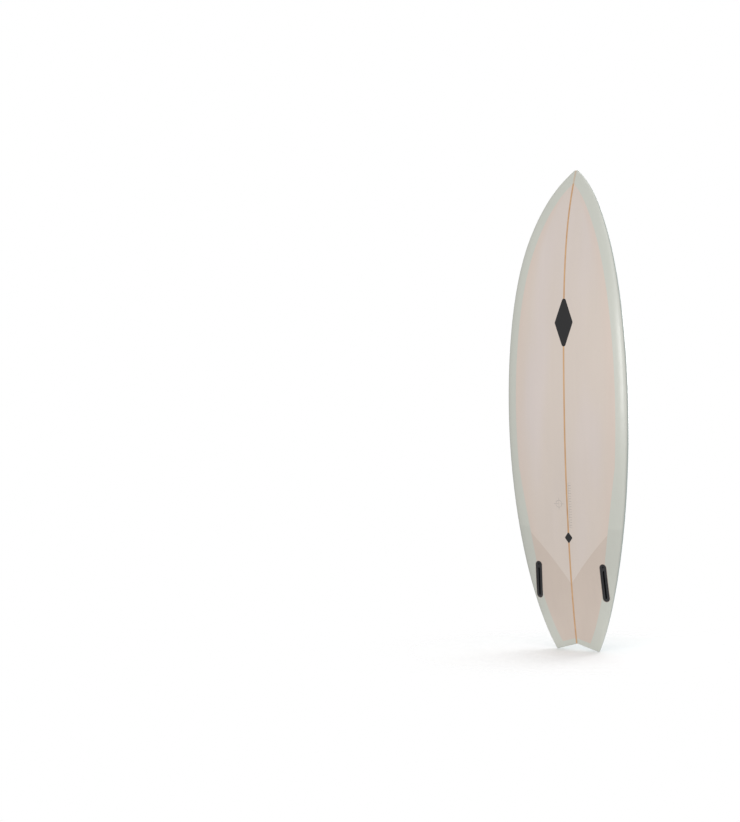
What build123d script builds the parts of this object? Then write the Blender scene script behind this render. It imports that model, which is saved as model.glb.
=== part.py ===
"""Swallow-tail twin-fin surfboard, stood on its tail: +Z runs from the tail to the nose,
-Y faces out of the bottom, +Y out of the deck, and +X is the surfer's left rail."""

import os
from math import cos, radians, sin

from build123d import *

# ---------------------------------------------------------------- driving dimensions (mm)
LENGTH = 1829.0
HALF_DEPTH = 54.0  # half of the whole depth, rocker included: the origin is mid-depth
NOSE_CAP = 1.0  # how far short of the full length the last section stands

# The shaper's card, from the tail to the nose:
# height above the tail tips, half width, thickness, lift of the bottom above the flat
CARD = (
    (-40.0, 68.0, 15.5, 100.0),
    (40.0, 113.5, 24.5, 84.0),
    (150.0, 156.0, 35.5, 65.0),
    (305.0, 198.0, 47.5, 44.0),
    (540.0, 238.5, 60.5, 21.5),
    (760.0, 257.5, 67.0, 7.5),
    (980.0, 261.0, 68.0, 1.0),
    (1219.0, 246.0, 62.0, 0.0),
    (1400.0, 219.0, 53.0, 6.5),
    (1560.0, 176.0, 42.0, 23.0),
    (1676.0, 126.0, 31.5, 45.5),
    (1750.0, 81.0, 22.0, 66.5),
    (1800.0, 38.0, 14.5, 83.5),
    (LENGTH - NOSE_CAP, 7.0, 10.0, 94.0),
)

# Cross-section, as shares of the half width and of the thickness: control points of the
# curves from the rail's widest line up to the middle of the deck, and down to the bottom's
DECK_CURVE = ((1, 0.33), (1, 0.53), (0.965, 0.72), (0.76, 0.92), (0.36, 1), (0, 1))
BOTTOM_CURVE = ((1, 0.33), (1, 0.13), (0.965, 0), (0.70, 0), (0.35, 0), (0, 0))

# Swallow tail, in plan
NOTCH_DEPTH = 26.0
TAIL_TIP_X = 97.0
TAIL_TIP_Z = -2.0
TAIL_TIP_RADIUS = 13.0
NOTCH_RADIUS = 8.0
TAIL_FLARE = 0.52  # how fast the tail widens, kept just outside the rails
TAIL_EDGE_RADIUS = 4.0
NOSE_EDGE_RADIUS = 3.0

# Blank and glass
STRINGER_THICKNESS = 6.0
SKIN = 1.0  # thickness of the laminate
LAP = 43.0  # width of the cut laps, in from the rails
TAIL_LAP = 22.0  # width of the lap across the swallow tail
INLAY_NOSE_GAP = 52.0  # the laps meet this far below the tip of the nose
PATCH_RAIL_Z = 475.0  # where the tail patch's front edge meets the laps
PATCH_VALLEY_Z = 255.0  # where it crosses the stringer
PATCH_SAG = 0.55  # share of the rise that the edge has made halfway out

# Plain marks on the stringer line
MARK_Z = 1245.0
MARK_HEIGHT = 214.0
MARK_WIDTH = 80.0
MARK_CORNER = 9.0
TAIL_MARK_Z = 432.0
TAIL_MARK_HEIGHT = 44.0
TAIL_MARK_WIDTH = 34.0
TAIL_MARK_CORNER = 4.0

# Fin boxes
FIN_X = 144.0
FIN_Z = 266.0
TOE_IN = 3.0  # degrees, the boxes' nose ends turned towards the stringer
BOX_LENGTH = 143.0
BOX_WIDTH = 28.0
BOX_DEPTH = 23.0
SLOT_LENGTH = 108.0
SLOT_WIDTH = 6.9
SLOT_DEPTH = 19.0
SLOT_SHIFT = -7.5  # the slot's middle lies this far towards the tail
RIM = 3.5  # width of the rim that stands round the box's sunken face
FACE_SINK = 0.8
RESIN_GAP = 1.5  # resin bed round and under each insert

# Set screws: each leans over so that its tip comes out at the nose end of the slot
SCREW_LEAN = 40.0  # degrees from square to the bottom
SCREW_MOUTH = 60.0  # where its axis crosses the surface, from the middle of the box
SCREW_RADIUS = 2.5
SCREW_LENGTH = 11.0
SCREW_SINK = 6.5  # length of empty bore above the screw
SCREW_CHAMFER = 0.5
BORE_CLEARANCE = 0.06
BORE_REACH = 23.0  # the bore's length, just far enough to break into the slot
MOUTH_RADIUS = 3.6
MOUTH_DEPTH = 2.6
HEX_RADIUS = 1.45  # socket for the key, to its corners
HEX_DEPTH = 3.0
HEX_SIDES = 6

# Leash plug
LEASH_X = -56.0
LEASH_Z = 51.0
CUP_RADIUS = 14.0
CUP_DEPTH = 16.0
CUP_BORE_RADIUS = 10.0
CUP_BORE_DEPTH = 12.5
PIN_RADIUS = 1.9
PIN_DEPTH = 4.6  # depth of the pin's axis below the deck
PIN_LENGTH = 25.0

# Working sizes
ABOVE = 6.0  # how far a cutter stands above the surface that it cuts
REACH = 400.0  # longer than any cut through the board


# ---------------------------------------------------------------- outlines and sections
def half_section(height, half_width, thickness, lift, inset):
    """Half a cross-section, out to the left rail: flat bottom, tucked rail and domed deck."""
    width = half_width - inset
    low = lift - HALF_DEPTH + inset
    tall = thickness - 2 * inset
    deck = [(x * width, low + y * tall) for x, y in DECK_CURVE]
    bottom = [(x * width, low + y * tall) for x, y in BOTTOM_CURVE]
    with BuildSketch(Plane.XY.offset(height)) as section:
        with BuildLine():
            Bezier(*deck)
            Line(deck[-1], bottom[-1])
            Bezier(*reversed(bottom))
        make_face()
    return section.sketch


def tail_plan(inset):
    """Plan of what the swallow tail keeps, clear of the rails except at the two tips."""
    side = TAIL_TIP_X + TAIL_FLARE * REACH
    top = LENGTH + REACH
    with BuildSketch(Plane.XZ) as plan:
        with BuildLine():
            Polyline(
                (0, top),
                (side, top),
                (side, TAIL_TIP_Z + inset + REACH),
                (TAIL_TIP_X - inset, TAIL_TIP_Z + inset),
                (0, NOTCH_DEPTH + inset),
                (-TAIL_TIP_X + inset, TAIL_TIP_Z + inset),
                (-side, TAIL_TIP_Z + inset + REACH),
                (-side, top),
                close=True,
            )
        make_face()
        tips = plan.vertices().group_by(Axis.Y)[0]
        fillet(tips, TAIL_TIP_RADIUS)
        notch = plan.vertices().sort_by_distance((0, NOTCH_DEPTH))[0]
        fillet(notch, NOTCH_RADIUS)
    return plan.sketch


def pulled_in(distance):
    """The left rail's outline in plan, each station moved inwards square to the outline."""
    rail = [Vector(half_width, height) for height, half_width, _, _ in CARD]
    below = rail[0] * 2 - rail[1]
    points = []
    for before, here, after in zip([below, *rail], rail, rail[1:]):
        run = (after - before).normalized()
        points.append(here + Vector(-run.Y, run.X) * distance)
    return [point for point in points if point.X > distance / 2 or point.Y < LENGTH / 2]


def inlay_plan():
    """Plan inside the cut laps: the outline pulled in, and stopped short of the swallow."""
    left_edge = [*pulled_in(LAP), Vector(0, LENGTH - INLAY_NOSE_GAP)]
    foot = left_edge[0].Y
    with BuildSketch(Plane.XZ) as plan:
        with BuildLine():
            Spline(*left_edge)
            Polyline(left_edge[0], (0, foot), left_edge[-1])
        make_face()
        mirror(about=Plane.YZ)
        with BuildLine():
            Polyline(
                (0, NOTCH_DEPTH + TAIL_LAP),
                (TAIL_TIP_X, TAIL_TIP_Z + TAIL_LAP),
                (REACH, LENGTH),
                (-REACH, LENGTH),
                (-TAIL_TIP_X, TAIL_TIP_Z + TAIL_LAP),
                close=True,
            )
        make_face(mode=Mode.INTERSECT)
    return plan.sketch


def patch_plan():
    """Plan of the tail patch, whose front edge dips to a V on the stringer."""
    rise = PATCH_RAIL_Z - PATCH_VALLEY_Z
    rail_x = CARD[3][1]
    halfway = (rail_x / 2, PATCH_VALLEY_Z + PATCH_SAG * rise)
    with BuildSketch(Plane.XZ) as plan:
        with BuildLine():
            ThreePointArc((0, PATCH_VALLEY_Z), halfway, (rail_x, PATCH_RAIL_Z))
            Polyline((rail_x, PATCH_RAIL_Z), (rail_x, -REACH), (0, -REACH), (0, PATCH_VALLEY_Z))
        make_face()
        mirror(about=Plane.YZ)
    return plan.sketch


def diamond_plan(middle, height, width, corner):
    """Plan of a plain diamond that stands on the stringer line."""
    with BuildSketch(Plane.XZ) as plan:
        with BuildLine():
            Polyline(
                (0, middle - height / 2),
                (width / 2, middle),
                (0, middle + height / 2),
                (-width / 2, middle),
                close=True,
            )
        make_face()
        fillet(plan.vertices(), corner)
    return plan.sketch


def through(plan):
    """A plan cut right through the board, from the bottom to the deck."""
    with BuildPart() as cutter:
        extrude(plan, amount=REACH, both=True)
    return cutter.part


def sunk(plan, depth):
    """A cutter from just above a surface down to a depth below it."""
    with BuildPart() as cutter:
        extrude(plan, amount=ABOVE)
        extrude(plan, amount=-depth)
    return cutter.part


def capsule(plane, length, width, shift=0):
    """A long round-ended outline on a plane, moved along the plane's own X."""
    with BuildSketch(plane) as plan:
        with Locations((shift, 0)):
            SlotOverall(length, width)
    return plan.sketch


def disc(plane, radius):
    with BuildSketch(plane) as plan:
        Circle(radius)
    return plan.sketch


def seat_plane(board, x, z, side, along):
    """A plane on the board's surface: Z out of the bottom (-1) or the deck (1), X as asked."""
    hits = board.find_intersection_points(Axis((x, -REACH, z), (0, 1, 0)))
    hits = sorted(hits, key=lambda hit: side * hit[0].Y)
    point, normal = hits[-1]
    if normal.Y * side < 0:
        normal = -normal
    return Plane(origin=point, x_dir=along - normal * along.dot(normal), z_dir=normal)


# ---------------------------------------------------------------- the board's whole shape
def board_hull(inset):
    """The whole board, or the same shape this much smaller all round."""
    sections = []
    for height, half_width, thickness, lift in CARD:
        drop = inset if height > LENGTH / 2 else 0
        sections.append(half_section(height - drop, half_width, thickness, lift, inset))
    plan = tail_plan(inset)
    with BuildPart() as hull:
        loft(sections)
        mirror(about=Plane.YZ)
        extrude(plan, amount=REACH, both=True, mode=Mode.INTERSECT)
        rim = hull.faces().filter_by(GeomType.BSPLINE).edges()
        tail_rim = rim.filter_by_position(Axis.Z, TAIL_TIP_Z, NOTCH_DEPTH + TAIL_LAP)
        fillet(tail_rim, TAIL_EDGE_RADIUS)
        nose_rim = hull.faces().sort_by(Axis.Z)[-1].edges()
        fillet(nose_rim, NOSE_EDGE_RADIUS)
    return hull.part


outer = board_hull(0)
core = board_hull(SKIN)


# ---------------------------------------------------------------- places of the inserts
SIDES = (("left", 1), ("right", -1))
box_planes = {}
for side, sign in SIDES:
    along = Vector(-sign * sin(radians(TOE_IN)), 0, cos(radians(TOE_IN)))
    box_planes[side] = seat_plane(outer, sign * FIN_X, FIN_Z, -1, along)
leash_plane = seat_plane(outer, LEASH_X, LEASH_Z, 1, Vector(1, 0, 0))


def screw_plane(side):
    """A plane across the screw's axis at the surface, with Z up and out along the axis."""
    mouth = box_planes[side] * Pos(SCREW_MOUTH, 0, 0)
    return Plane(mouth * Rot(0, SCREW_LEAN, 0))


box_beds = {}
for side, sign in SIDES:
    bed = capsule(box_planes[side], BOX_LENGTH + 2 * RESIN_GAP, BOX_WIDTH + 2 * RESIN_GAP)
    box_beds[side] = sunk(bed, BOX_DEPTH + RESIN_GAP)
cup_bed = sunk(disc(leash_plane, CUP_RADIUS + RESIN_GAP), CUP_DEPTH + RESIN_GAP)
beds = [*box_beds.values(), cup_bed]
mark = through(diamond_plan(MARK_Z, MARK_HEIGHT, MARK_WIDTH, MARK_CORNER))
tail_mark_plan = diamond_plan(TAIL_MARK_Z, TAIL_MARK_HEIGHT, TAIL_MARK_WIDTH, TAIL_MARK_CORNER)
small_mark = through(tail_mark_plan)
patch = through(patch_plan())
inlay = through(inlay_plan())


# ---------------------------------------------------------------- blank and stringer
with BuildPart() as stringer:
    add(core)
    Box(STRINGER_THICKNESS, REACH, LENGTH * 2, mode=Mode.INTERSECT)
stringer.part.label = "stringer"

with BuildPart() as foam_left:
    add(core)
    split(bisect_by=Plane.YZ.offset(STRINGER_THICKNESS / 2), keep=Keep.TOP)
    add(box_beds["left"], mode=Mode.SUBTRACT)
foam_left.part.label = "foam_left"

with BuildPart() as foam_right:
    add(core)
    split(bisect_by=Plane.YZ.offset(-STRINGER_THICKNESS / 2), keep=Keep.BOTTOM)
    add(box_beds["right"], mode=Mode.SUBTRACT)
    add(cup_bed, mode=Mode.SUBTRACT)
foam_right.part.label = "foam_right"


# ---------------------------------------------------------------- glass
with BuildPart() as rail_lap:
    add(outer)
    add(core, mode=Mode.SUBTRACT)
    add(inlay, mode=Mode.SUBTRACT)
    add(beds, mode=Mode.SUBTRACT)
rail_lap.part.label = "rail_lap"

with BuildPart() as inlays:
    add(outer)
    add(inlay, mode=Mode.INTERSECT)
    add(core, mode=Mode.SUBTRACT)
bottom_skin, deck_skin = inlays.solids().sort_by(Axis.Y)

with BuildPart() as deck_inlay:
    add(deck_skin)
    add(mark, mode=Mode.SUBTRACT)
    add(cup_bed, mode=Mode.SUBTRACT)
deck_inlay.part.label = "deck_inlay"

with BuildPart() as bottom_inlay:
    add(bottom_skin)
    add(patch, mode=Mode.SUBTRACT)
    add(mark, mode=Mode.SUBTRACT)
    add(small_mark, mode=Mode.SUBTRACT)
bottom_inlay.part.label = "bottom_inlay"

with BuildPart() as tail_patch:
    add(bottom_skin)
    add(patch, mode=Mode.INTERSECT)
    add(beds, mode=Mode.SUBTRACT)
tail_patch.part.label = "tail_patch"

with BuildPart() as deck_mark:
    add(deck_skin)
    add(mark, mode=Mode.INTERSECT)
deck_mark.part.label = "deck_mark"

with BuildPart() as bottom_mark:
    add(bottom_skin)
    add(mark, mode=Mode.INTERSECT)
bottom_mark.part.label = "bottom_mark"

with BuildPart() as tail_mark:
    add(bottom_skin)
    add(small_mark, mode=Mode.INTERSECT)
tail_mark.part.label = "tail_mark"

glass = (rail_lap, deck_inlay, bottom_inlay, tail_patch, deck_mark, bottom_mark, tail_mark)
finished = [stringer, foam_left, foam_right, *glass]


# ---------------------------------------------------------------- fin boxes
for side, sign in SIDES:
    plane = box_planes[side]
    body = sunk(capsule(plane, BOX_LENGTH, BOX_WIDTH), BOX_DEPTH)
    face = capsule(plane, BOX_LENGTH - 2 * RIM, BOX_WIDTH - 2 * RIM)
    slot = capsule(plane, SLOT_LENGTH, SLOT_WIDTH, SLOT_SHIFT)
    bore_plane = screw_plane(side)
    bore = disc(bore_plane, SCREW_RADIUS + BORE_CLEARANCE)
    mouth = disc(bore_plane, MOUTH_RADIUS)

    with BuildPart() as fin_bed:
        add(outer)
        add(box_beds[side], mode=Mode.INTERSECT)
        add(body, mode=Mode.SUBTRACT)
    fin_bed.part.label = f"fin_bed_{side}"

    with BuildPart() as fin_box:
        add(outer)
        add(body, mode=Mode.INTERSECT)
        add(sunk(face, FACE_SINK), mode=Mode.SUBTRACT)
        add(sunk(slot, SLOT_DEPTH), mode=Mode.SUBTRACT)
        add(sunk(bore, BORE_REACH), mode=Mode.SUBTRACT)
        add(sunk(mouth, MOUTH_DEPTH), mode=Mode.SUBTRACT)
    fin_box.part.label = f"fin_box_{side}"

    screw_top = bore_plane.offset(-SCREW_SINK)
    with BuildPart() as fin_screw:
        extrude(disc(screw_top, SCREW_RADIUS), amount=-SCREW_LENGTH)
        chamfer(fin_screw.edges(), SCREW_CHAMFER)
        with BuildSketch(screw_top):
            RegularPolygon(HEX_RADIUS, HEX_SIDES)
        extrude(amount=-HEX_DEPTH, mode=Mode.SUBTRACT)
    fin_screw.part.label = f"fin_screw_{side}"
    finished += [fin_bed, fin_box, fin_screw]


# ---------------------------------------------------------------- leash plug
cup_body = sunk(disc(leash_plane, CUP_RADIUS), CUP_DEPTH)
pin_plane = Plane(leash_plane * Pos(0, 0, -PIN_DEPTH) * Rot(0, 90, 0))
pin_body = disc(pin_plane, PIN_RADIUS)

with BuildPart() as leash_pin:
    extrude(pin_body, amount=PIN_LENGTH / 2, both=True)
leash_pin.part.label = "leash_pin"

with BuildPart() as leash_cup:
    add(outer)
    add(cup_body, mode=Mode.INTERSECT)
    add(sunk(disc(leash_plane, CUP_BORE_RADIUS), CUP_BORE_DEPTH), mode=Mode.SUBTRACT)
    add(leash_pin.part, mode=Mode.SUBTRACT)
leash_cup.part.label = "leash_cup"

with BuildPart() as leash_bed:
    add(outer)
    add(cup_bed, mode=Mode.INTERSECT)
    add(cup_body, mode=Mode.SUBTRACT)
leash_bed.part.label = "leash_bed"
finished += [leash_pin, leash_cup, leash_bed]


# ---------------------------------------------------------------- one file for each piece
os.makedirs("parts", exist_ok=True)
for piece in finished:
    export_step(piece.part, f"parts/{piece.part.label}.step")
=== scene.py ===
"""Looks for a swallow-tail twin-fin surfboard: laminates, wood, plastic, steel, floor, light, camera.

+Z runs from the tail to the nose, -Y is the bottom, +Y is the deck, and lengths are metres.
"""

from math import cos, pi, radians, sin

import bpy
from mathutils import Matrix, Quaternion, Vector


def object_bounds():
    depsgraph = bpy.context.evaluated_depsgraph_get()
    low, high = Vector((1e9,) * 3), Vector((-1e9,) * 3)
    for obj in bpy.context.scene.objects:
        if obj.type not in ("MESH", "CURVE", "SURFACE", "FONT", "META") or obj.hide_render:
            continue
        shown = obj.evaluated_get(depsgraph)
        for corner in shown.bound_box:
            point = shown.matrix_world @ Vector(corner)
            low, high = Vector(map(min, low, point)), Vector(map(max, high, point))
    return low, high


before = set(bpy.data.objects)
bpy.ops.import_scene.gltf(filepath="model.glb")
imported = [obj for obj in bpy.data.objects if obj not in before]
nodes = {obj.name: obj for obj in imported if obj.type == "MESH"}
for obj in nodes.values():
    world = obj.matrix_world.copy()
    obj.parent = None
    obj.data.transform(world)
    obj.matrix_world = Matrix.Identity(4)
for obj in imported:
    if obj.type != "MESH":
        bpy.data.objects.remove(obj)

cad_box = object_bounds()
scene = bpy.context.scene
scene.view_settings.view_transform = "Standard"

# ---- colours, linear RGB
BLUSH = (0.640, 0.560, 0.500)
BLUSH_COOL = (0.660, 0.590, 0.575)
BLUSH_WARM = (0.655, 0.545, 0.475)
PATCH = (0.585, 0.495, 0.430)
AQUA = (0.470, 0.655, 0.690)
AQUA_DEEP = (0.430, 0.620, 0.640)
SAGE_BOTTOM = (0.565, 0.575, 0.520)
SAGE_DECK = (0.455, 0.560, 0.540)
# painted shade: the darker sage that the rail is mixed towards where it faces sideways
SAGE_PAINTED_SHADE = (0.330, 0.410, 0.385)
WOOD_LIGHT = (0.640, 0.375, 0.180)
WOOD_DARK = (0.430, 0.215, 0.085)
WOOD_UNDER_AQUA = (0.430, 0.435, 0.340)
PENCIL = (0.230, 0.215, 0.210)
INK = (0.008, 0.008, 0.009)
FOAM = (0.780, 0.760, 0.690)
RESIN_BOTTOM = (0.400, 0.330, 0.280)
RESIN_DECK = (0.300, 0.420, 0.440)
BLACK_PLASTIC = (0.016, 0.016, 0.018)
STEEL = (0.560, 0.570, 0.580)

# ---- sizes on the board, metres
INLAY_MIDDLE = 0.940
INLAY_HALF_LENGTH = 0.860
INLAY_HALF_WIDTH = 0.218
INLAY_POWER = 2.6
INLAY_LEAST_HALF = 0.01
PATCH_TOP = 0.465
PATCH_EDGE = 0.01
STRINGER_HALF = 0.0030
STRINGER_EDGE = 0.0003
GLUE_LINE = 0.0007
THREAD_PITCH = 0.0014
PENCIL_FROM, PENCIL_TO = 0.470, 0.640
TICK_GAP = 0.010
TICK_MIDDLE = 0.0135
TICK_HALF = 0.0055
TICK_FULL, TICK_GONE = 0.0004, 0.0011
RULE_X = 0.0080
CROSS_X, CROSS_Z = -0.036, 0.560
CROSS_REACH = 0.022
RING_RADIUS = 0.013
LINE_HALF = 0.0006
CROSS_LINE_HALF = 0.0005
LINE_SOFT = 0.0006
END_SOFT = 0.001

# ---- strengths, as shares
WOOD_SHARE = 0.4
WOOD_FIGURE = 0.9
WOOD_GRAIN = 1.5
GLUE_STRENGTH = 0.3
PENCIL_STRENGTH = 0.75
BOTTOM_CLEAR = 0.94
DECK_CLEAR = 0.85
COOL_SHARE = 0.5
WARM_SHARE = 0.6
# how much painted shade darkens the rail where it faces sideways
APEX_PAINTED_SHADE_SHARE = 0.25
PATCH_DIM = -0.05
RAIL_WRAP = 0.8
CLOUD_GAIN = 2
STREAK_GAIN = 0.6
WEAVE_TINT = 0.012
WEAVE_RELIEF = 0.06
HAZE = 0.38
HAZE_CHANGE = 0.10


class Graph:
    """A material's node tree, with one short method for each step that these materials take."""

    def __init__(self, name, **constants):
        self.material = bpy.data.materials.new(name)
        self.material.use_nodes = True
        self.tree = self.material.node_tree
        self.shader = self.tree.nodes["Principled BSDF"]
        for socket, value in constants.items():
            self.shader.inputs[socket.replace("_", " ")].default_value = value
        place = self.tree.nodes.new("ShaderNodeTexCoord")
        split = self.tree.nodes.new("ShaderNodeSeparateXYZ")
        self.place = place.outputs["Object"]
        self.tree.links.new(self.place, split.inputs[0])
        self.x, self.y, self.z = split.outputs

    def set(self, socket, value):
        """Puts a number, a colour or another node's output on a socket."""
        if isinstance(value, bpy.types.NodeSocket):
            self.tree.links.new(value, socket)
        elif isinstance(value, tuple) and socket.type == "RGBA":
            socket.default_value = (*value, 1)
        else:
            socket.default_value = value

    def math(self, operation, a, b=0.0, c=0.0):
        node = self.tree.nodes.new("ShaderNodeMath")
        node.operation = operation
        for socket, value in zip(node.inputs, (a, b, c)):
            self.set(socket, value)
        return node.outputs[0]

    def mix(self, share, a, b):
        """Colour a where share is 0 and colour b where share is 1."""
        node = self.tree.nodes.new("ShaderNodeMix")
        node.data_type = "RGBA"
        self.set(node.inputs[0], share)
        self.set(node.inputs[6], a)
        self.set(node.inputs[7], b)
        return node.outputs[2]

    def ramp(self, value, start, end, low=0.0, high=1.0):
        """A value that goes smoothly from low to high between start and end."""
        node = self.tree.nodes.new("ShaderNodeMapRange")
        node.interpolation_type = "SMOOTHSTEP"
        for socket, number in zip(node.inputs, (value, start, end, low, high)):
            self.set(socket, number)
        return node.outputs[0]

    def band(self, value, middle, half, soft):
        """1 within half of middle, 0 outside, with an edge that is soft wide."""
        away = self.math("ABSOLUTE", self.math("SUBTRACT", value, middle))
        return self.ramp(away, half - soft / 2, half + soft / 2, 1.0, 0.0)

    def noise(self, scale, stretch=(1, 1, 1), detail=3.0):
        """Noise of about -0.5 to 0.5, where scale is cells per metre and stretch is per axis."""
        grid = self.tree.nodes.new("ShaderNodeMapping")
        grid.inputs["Scale"].default_value = Vector(stretch) * scale
        self.set(grid.inputs["Vector"], self.place)
        node = self.tree.nodes.new("ShaderNodeTexNoise")
        node.inputs["Scale"].default_value = 1.0
        node.inputs["Detail"].default_value = detail
        self.set(node.inputs["Vector"], grid.outputs[0])
        return self.math("SUBTRACT", node.outputs["Fac"], 0.5)

    def cells(self, scale):
        """Distance to the nearest of a scatter of points, for foam cells and pinholes."""
        node = self.tree.nodes.new("ShaderNodeTexVoronoi")
        node.inputs["Scale"].default_value = scale
        self.set(node.inputs["Vector"], self.place)
        return node.outputs["Distance"]

    def shade(self, colour, *amounts):
        """The colour made lighter or darker by each (value, strength)."""
        gain = 1.0
        for value, strength in amounts:
            gain = self.math("MULTIPLY_ADD", value, strength, gain)
        node = self.tree.nodes.new("ShaderNodeVectorMath")
        node.operation = "SCALE"
        self.set(node.inputs[0], colour)
        self.set(node.inputs["Scale"], gain)
        return node.outputs[0]

    def bump(self, height, distance, strength=1.0):
        """Relief of the given height field, where distance is metres for a height of 1."""
        node = self.tree.nodes.new("ShaderNodeBump")
        node.inputs["Distance"].default_value = distance
        node.inputs["Strength"].default_value = strength
        self.set(node.inputs["Height"], height)
        self.set(self.shader.inputs["Normal"], node.outputs[0])

    def finish(self, colour, roughness):
        self.set(self.shader.inputs["Base Color"], colour)
        self.set(self.shader.inputs["Roughness"], roughness)
        return self.material


# ---- what shows through the resin
def wave(g, value, pitch):
    """A sine along value, -1 to 1, once in each pitch."""
    return g.math("SINE", g.math("MULTIPLY", value, 2 * pi / pitch))


def cloth(g):
    """The glass cloth's plain weave, which follows the skin round the rail."""
    across = g.math("MULTIPLY_ADD", g.y, RAIL_WRAP, g.x)
    return g.math("MULTIPLY", wave(g, across, THREAD_PITCH), wave(g, g.z, THREAD_PITCH))


def wood(g):
    """Straight-grained wood along the board."""
    grain = g.noise(scale=420, stretch=(1, 1, 0.012), detail=4.0)
    figure = g.noise(scale=60, stretch=(1, 1, 0.06), detail=2.0)
    figured = g.math("MULTIPLY_ADD", figure, WOOD_FIGURE, WOOD_SHARE)
    share = g.math("MULTIPLY_ADD", grain, WOOD_GRAIN, figured)
    return g.mix(g.ramp(share, start=0.0, end=1.0), WOOD_LIGHT, WOOD_DARK)


def over_stringer(g, colour, wood_colour, opacity):
    """The colour with the wooden strip and its two glue lines showing through."""
    side = g.math("ABSOLUTE", g.x)
    strip = g.ramp(side, STRINGER_HALF - STRINGER_EDGE, STRINGER_HALF + STRINGER_EDGE, opacity, 0.0)
    glue = g.band(side, STRINGER_HALF, GLUE_LINE, GLUE_LINE)
    seen = g.mix(strip, colour, wood_colour)
    return g.mix(g.math("MULTIPLY", glue, GLUE_STRENGTH), seen, WOOD_DARK)


def pencil_ticks(g, colour):
    """A shaper's measuring ticks beside the stringer, and a ringed cross on its other side."""
    rub = g.ramp(g.noise(scale=260, detail=2.0), start=-0.20, end=0.02)
    reach = g.band(g.z, (PENCIL_FROM + PENCIL_TO) / 2, (PENCIL_TO - PENCIL_FROM) / 2, END_SOFT)
    step = g.math("PINGPONG", g.z, TICK_GAP / 2)
    across = g.band(g.x, TICK_MIDDLE, TICK_HALF, END_SOFT)
    tick = g.math("MULTIPLY", g.ramp(step, TICK_FULL, TICK_GONE, 1.0, 0.0), across)
    rule = g.band(g.x, RULE_X, LINE_HALF, LINE_SOFT)
    ticks = g.math("MULTIPLY", g.math("MAXIMUM", tick, rule), reach)
    side = g.math("SUBTRACT", g.x, CROSS_X)
    rise = g.math("SUBTRACT", g.z, CROSS_Z)
    away = g.math("SQRT", g.math("MULTIPLY_ADD", side, side, g.math("MULTIPLY", rise, rise)))
    upright = g.band(side, 0, CROSS_LINE_HALF, LINE_SOFT)
    level = g.band(rise, 0, CROSS_LINE_HALF, LINE_SOFT)
    lines = g.math("MAXIMUM", upright, level)
    cross = g.math("MULTIPLY", lines, g.band(away, 0, CROSS_REACH, END_SOFT))
    ring = g.band(away, RING_RADIUS, LINE_HALF, LINE_SOFT)
    drawn = g.math("MAXIMUM", ticks, g.math("MAXIMUM", cross, ring))
    strength = g.math("MULTIPLY", rub, PENCIL_STRENGTH)
    return g.mix(g.math("MULTIPLY", drawn, strength), colour, PENCIL)


def near_laps(g):
    """0 in the middle of a face and 1 at the cut laps, whose outline is close to a power curve."""
    scale = 1 / INLAY_HALF_LENGTH
    along = g.math("ABSOLUTE", g.math("MULTIPLY_ADD", g.z, scale, -INLAY_MIDDLE / INLAY_HALF_LENGTH))
    curve = g.math("POWER", along, INLAY_POWER)
    half_width = g.math("MULTIPLY_ADD", curve, -INLAY_HALF_WIDTH, INLAY_HALF_WIDTH)
    width_here = g.math("MAXIMUM", half_width, INLAY_LEAST_HALF)
    share = g.math("DIVIDE", g.math("ABSOLUTE", g.x), width_here)
    return g.ramp(share, start=0.70, end=1.0)


def glass(name):
    """Clear gloss resin over cloth: the sockets that are the same all over."""
    return Graph(name, IOR=1.5, Coat_Weight=0.45, Coat_Roughness=0.20, Coat_IOR=1.5)


def laminated(g, colour, cloudiness=0.05):
    """Finishes a tinted laminate: clouds in the tint, cloth, sanding haze and a faint orange peel."""
    clouds = g.noise(scale=7, stretch=(1, 1, 0.3), detail=2.0)
    streaks = g.noise(scale=75, stretch=(1, 1, 0.05), detail=3.0)
    weave = cloth(g)
    cloud_amount = (clouds, cloudiness * CLOUD_GAIN)
    streak_amount = (streaks, cloudiness * STREAK_GAIN)
    tinted = g.shade(colour, cloud_amount, streak_amount, (weave, WEAVE_TINT))
    peel = g.noise(scale=160, detail=1.0)
    g.bump(g.math("MULTIPLY_ADD", weave, WEAVE_RELIEF, peel), distance=0.00010)
    sanding = g.noise(scale=34, stretch=(1, 1, 0.2), detail=4.0)
    haze = g.math("MULTIPLY_ADD", sanding, HAZE_CHANGE, HAZE)
    return g.finish(tinted, haze)


def bottom_glass():
    """Pale blush, cooler in soft streaks and warmer where the tint has gathered along the laps."""
    g = glass("bottom_glass")
    cool = g.ramp(g.noise(scale=3.5, stretch=(2.0, 1, 0.4), detail=1.0), start=-0.05, end=0.2)
    colour = g.mix(g.math("MULTIPLY", cool, COOL_SHARE), BLUSH, BLUSH_COOL)
    colour = g.mix(g.math("MULTIPLY", near_laps(g), WARM_SHARE), colour, BLUSH_WARM)
    return laminated(g, over_stringer(g, pencil_ticks(g, colour), wood(g), BOTTOM_CLEAR))


def patch_glass():
    """The reinforcement cloth under the tail: darker, and cloudier than the rest."""
    g = glass("patch_glass")
    return laminated(g, over_stringer(g, PATCH, wood(g), BOTTOM_CLEAR), cloudiness=0.07)


def deck_glass():
    """Pale blue in soft lengthwise clouds."""
    g = glass("deck_glass")
    deep = g.ramp(g.noise(scale=6, stretch=(1.6, 1, 0.3), detail=2.0), start=-0.2, end=0.25)
    colour = g.mix(deep, AQUA, AQUA_DEEP)
    return laminated(g, over_stringer(g, colour, WOOD_UNDER_AQUA, DECK_CLEAR))


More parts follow.
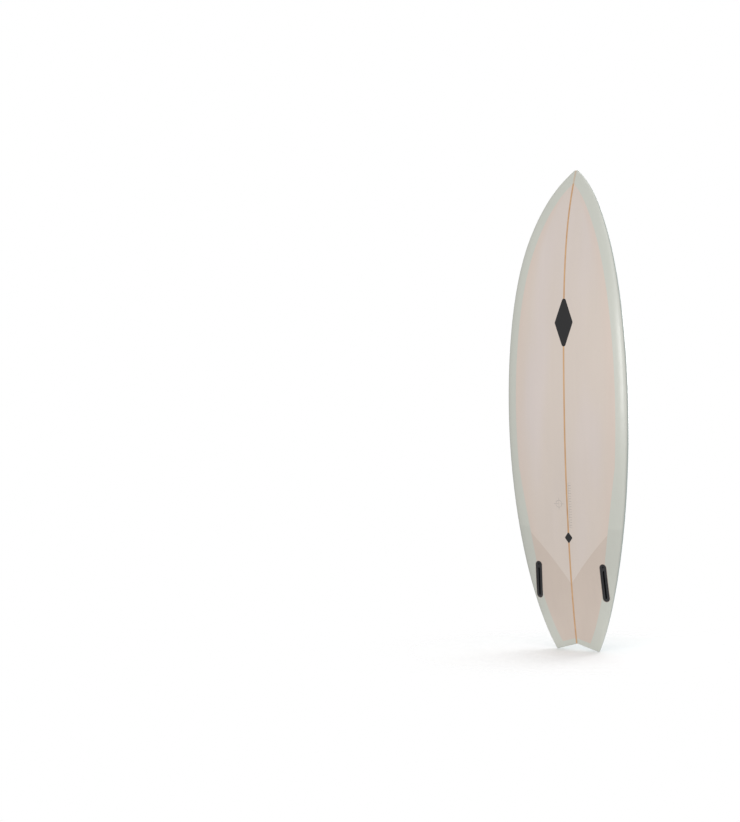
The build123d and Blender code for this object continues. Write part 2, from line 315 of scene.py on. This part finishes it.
def rail_glass():
    """The lap: bottom and deck tints overlap on it, and painted shade makes it darkest where the rail
    turns sideways.
    """
    g = glass("rail_glass")
    normal = g.tree.nodes.new("ShaderNodeNewGeometry").outputs["Normal"]
    split = g.tree.nodes.new("ShaderNodeSeparateXYZ")
    g.set(split.inputs[0], normal)
    facing = split.outputs[1]
    sides = g.mix(g.ramp(facing, start=-0.5, end=0.4), SAGE_BOTTOM, SAGE_DECK)
    # painted shade: where the rail's surface faces sideways it is mixed towards a darker sage,
    # standing in for shade
    painted_apex_shade = g.band(facing, middle=-0.05, half=0.30, soft=0.5)
    colour = g.mix(g.math("MULTIPLY", painted_apex_shade, APEX_PAINTED_SHADE_SHARE), sides, SAGE_PAINTED_SHADE)
    beside_patch = g.ramp(g.z, PATCH_TOP, PATCH_TOP + PATCH_EDGE, 1.0, 0.0)
    on_bottom = g.ramp(facing, start=-0.5, end=0, low=1.0, high=0.0)
    over_patch = g.math("MULTIPLY", beside_patch, on_bottom)
    colour = g.shade(colour, (over_patch, PATCH_DIM))
    seen_wood = g.mix(g.ramp(facing, start=-0.2, end=0.2), wood(g), WOOD_UNDER_AQUA)
    faded = g.ramp(g.z, start=0.1, end=1.7, low=0.9, high=0.4)
    return laminated(g, over_stringer(g, colour, seen_wood, faded))


def ink():
    """Black print under the gloss coat, with fine pinholes."""
    g = glass("mark_ink")
    holes = g.ramp(g.cells(scale=900), start=0.05, end=0.10, low=2.0, high=0.0)
    return g.finish(g.shade(INK, (holes, 1.0), (g.noise(scale=120), 0.5)), roughness=0.38)


def foam():
    """Closed-cell foam with the fine pits that shaping leaves."""
    g = Graph("foam", Specular_IOR_Level=0.2)
    pits = g.cells(scale=1500)
    g.bump(pits, distance=0.0002)
    return g.finish(g.shade(FOAM, (pits, -0.12), (g.noise(scale=12), 0.06)), roughness=0.9)


def bare_wood():
    """The stringer's own wood, sawn and unsealed."""
    g = Graph("stringer_wood")
    g.bump(g.noise(scale=500, stretch=(1, 1, 0.02)), distance=0.0001)
    return g.finish(wood(g), roughness=0.6)


def bed_resin():
    """Filled resin around a box or plug, tinted like the glass on its side of the board."""
    g = Graph("bed_resin", Coat_Weight=0.4, Coat_Roughness=0.1)
    tint = g.mix(g.ramp(g.y, start=0.01, end=0.03), RESIN_BOTTOM, RESIN_DECK)
    filler, flow = g.noise(scale=900), g.noise(scale=60)
    return g.finish(g.shade(tint, (filler, 0.35), (flow, 0.2)), roughness=0.35)


def plastic():
    """Moulded black plastic, fine-grained and rubbed a little lighter in patches."""
    g = Graph("box_plastic", IOR=1.5, Coat_Weight=0.15, Coat_Roughness=0.3)
    grain = g.noise(scale=2600, detail=2.0)
    rub = g.noise(scale=90, stretch=(1, 1, 0.25), detail=4.0)
    g.bump(grain, distance=0.00004)
    roughness = g.math("MULTIPLY_ADD", rub, 0.25, 0.36)
    return g.finish(g.shade(BLACK_PLASTIC, (grain, 0.7), (rub, 1.1)), roughness)


def steel(name, brushed):
    """Stainless steel with fine lines, where brushed stretches them along one axis."""
    g = Graph(name, Metallic=1.0)
    lines = g.noise(scale=3200, stretch=brushed, detail=2.0)
    g.bump(lines, distance=0.00002)
    stain = g.noise(scale=700, detail=4.0)
    roughness = g.math("MULTIPLY_ADD", stain, 0.3, 0.32)
    return g.finish(g.shade(STEEL, (lines, 0.2), (stain, 0.35)), roughness)


def dress(material, *names):
    """Gives CAD nodes their material."""
    for name in names:
        nodes[name].data.materials.clear()
        nodes[name].data.materials.append(material)


dress(foam(), "foam_left", "foam_right")
dress(bare_wood(), "stringer")
dress(bottom_glass(), "bottom_inlay")
dress(deck_glass(), "deck_inlay")
dress(rail_glass(), "rail_lap")
dress(patch_glass(), "tail_patch")
dress(ink(), "deck_mark", "bottom_mark", "tail_mark")
dress(bed_resin(), "fin_bed_left", "fin_bed_right", "leash_bed")
dress(plastic(), "fin_box_left", "fin_box_right", "leash_cup")
dress(steel("screw_steel", (1, 0.05, 1)), "fin_screw_left", "fin_screw_right")
dress(steel("pin_steel", (0.05, 1, 1)), "leash_pin")

# ---- camera
CAMERA_AZIMUTH = radians(31.5)
CAMERA_DISTANCE = 7.0
CAMERA_ROLL = radians(-0.22)
HEIGHT_SHARE = 0.58273  # of the picture, that the board is tall
RIGHT_OF_CENTRE = 0.24501  # from the picture's middle to the board, in picture heights
SENSOR = 36.0

low, high = cad_box
centre = Vector((0, 0, (low.z + high.z) / 2))
frame_height = (high.z - low.z) / HEIGHT_SHARE
to_camera = Vector((sin(CAMERA_AZIMUTH), -cos(CAMERA_AZIMUTH), 0))
to_right = Vector((cos(CAMERA_AZIMUTH), sin(CAMERA_AZIMUTH), 0))

camera = bpy.data.objects.new("camera", bpy.data.cameras.new("camera"))
scene.collection.objects.link(camera)
scene.camera = camera
camera.location = centre + to_camera * CAMERA_DISTANCE
aim = centre - to_right * frame_height * RIGHT_OF_CENTRE
camera.rotation_mode = "QUATERNION"
level = (aim - camera.location).to_track_quat("-Z", "Y")
camera.rotation_quaternion = level @ Quaternion((0, 0, 1), CAMERA_ROLL)
camera.data.sensor_width = SENSOR
camera.data.lens = SENSOR * CAMERA_DISTANCE / frame_height

# ---- light
KEY = 0.31
BACK_KEY = 0.36
TOP = 0.26
SURROUND = 0.44
SOFTBOX = 0.31
SOFTBOX_AWAY = 1.8
SOFTBOX_RISE = 0.25
SOFTBOX_SIZE = 0.7

# ---- floor, metres
FLOOR_RADIUS = 0.9
FLOOR_SOLID = 0.05
FLOOR_DROP = 0.0005
FLOOR_RINGS = 8
FLOOR_SPOKES = 96
FLOOR_COLOUR = (0.93, 0.93, 0.93)


def sun(name, azimuth, elevation, brightness, spread):
    """Soft light from far away, where brightness is what a white surface facing it gives back."""
    lamp = bpy.data.lights.new(name, "SUN")
    lamp.energy = brightness * pi
    lamp.angle = radians(spread)
    piece = bpy.data.objects.new(name, lamp)
    scene.collection.objects.link(piece)
    a, e = radians(azimuth), radians(elevation)
    source = Vector((sin(a) * cos(e), -cos(a) * cos(e), sin(e)))
    piece.rotation_mode = "QUATERNION"
    piece.rotation_quaternion = (-source).to_track_quat("-Z", "Y")


def softbox(name, azimuth, brightness):
    """A soft panel at the board's middle height, where brightness is what it adds to white there."""
    lamp = bpy.data.lights.new(name, "AREA")
    lamp.energy = brightness * (pi * SOFTBOX_AWAY) ** 2
    lamp.size = SOFTBOX_SIZE
    piece = bpy.data.objects.new(name, lamp)
    scene.collection.objects.link(piece)
    a = radians(azimuth)
    source = Vector((sin(a), -cos(a), 0))
    piece.location = centre + source * SOFTBOX_AWAY + Vector((0, 0, SOFTBOX_RISE))
    piece.rotation_mode = "QUATERNION"
    piece.rotation_quaternion = (-source).to_track_quat("-Z", "Y")
    piece.visible_camera = False


sun("key_light", azimuth=36, elevation=18, brightness=KEY, spread=60)
sun("back_light", azimuth=200, elevation=14, brightness=BACK_KEY, spread=60)
sun("top_light", azimuth=0, elevation=90, brightness=TOP, spread=40)
softbox("front_panel", azimuth=12, brightness=SOFTBOX)
softbox("rear_panel", azimuth=170, brightness=SOFTBOX)


def surround():
    """White all round to the eye, and dimmer as a light."""
    world = bpy.data.worlds.new("surround")
    scene.world = world
    world.use_nodes = True
    tree = world.node_tree
    path = tree.nodes.new("ShaderNodeLightPath")
    strength = tree.nodes.new("ShaderNodeMapRange")
    strength.inputs["To Min"].default_value = SURROUND
    strength.inputs["To Max"].default_value = 1.0
    tree.links.new(path.outputs["Is Camera Ray"], strength.inputs["Value"])
    tree.links.new(strength.outputs[0], tree.nodes["Background"].inputs["Strength"])
    tree.nodes["Background"].inputs["Color"].default_value = (1, 1, 1, 1)


def floor():
    """A pale round of floor under the tail that fades into the white around it."""
    verts = [(0, 0, 0)]
    faces = []
    for ring in range(FLOOR_RINGS):
        r = FLOOR_RADIUS * (ring + 1) / FLOOR_RINGS
        for k in range(FLOOR_SPOKES):
            turn = 2 * pi * k / FLOOR_SPOKES
            verts.append((r * cos(turn), r * sin(turn), 0))
    for k in range(FLOOR_SPOKES):
        faces.append((0, 1 + k, 1 + (k + 1) % FLOOR_SPOKES))
    for ring in range(FLOOR_RINGS - 1):
        inner = 1 + ring * FLOOR_SPOKES
        outer = inner + FLOOR_SPOKES
        for k in range(FLOOR_SPOKES):
            following = (k + 1) % FLOOR_SPOKES
            faces.append((inner + k, outer + k, outer + following, inner + following))
    mesh = bpy.data.meshes.new("floor")
    mesh.from_pydata(verts, [], faces)
    piece = bpy.data.objects.new("floor", mesh)
    piece.location.z = -FLOOR_DROP
    scene.collection.objects.link(piece)
    g = Graph("pale_floor", Specular_IOR_Level=0.1)
    away = g.math("SQRT", g.math("ADD", g.math("MULTIPLY", g.x, g.x), g.math("MULTIPLY", g.y, g.y)))
    g.set(g.shader.inputs["Alpha"], g.ramp(away, FLOOR_SOLID, FLOOR_RADIUS, 1.0, 0.0))
    mesh.materials.append(g.finish(g.shade(FLOOR_COLOUR, (g.noise(scale=5), 0.01)), roughness=0.8))


surround()
floor()
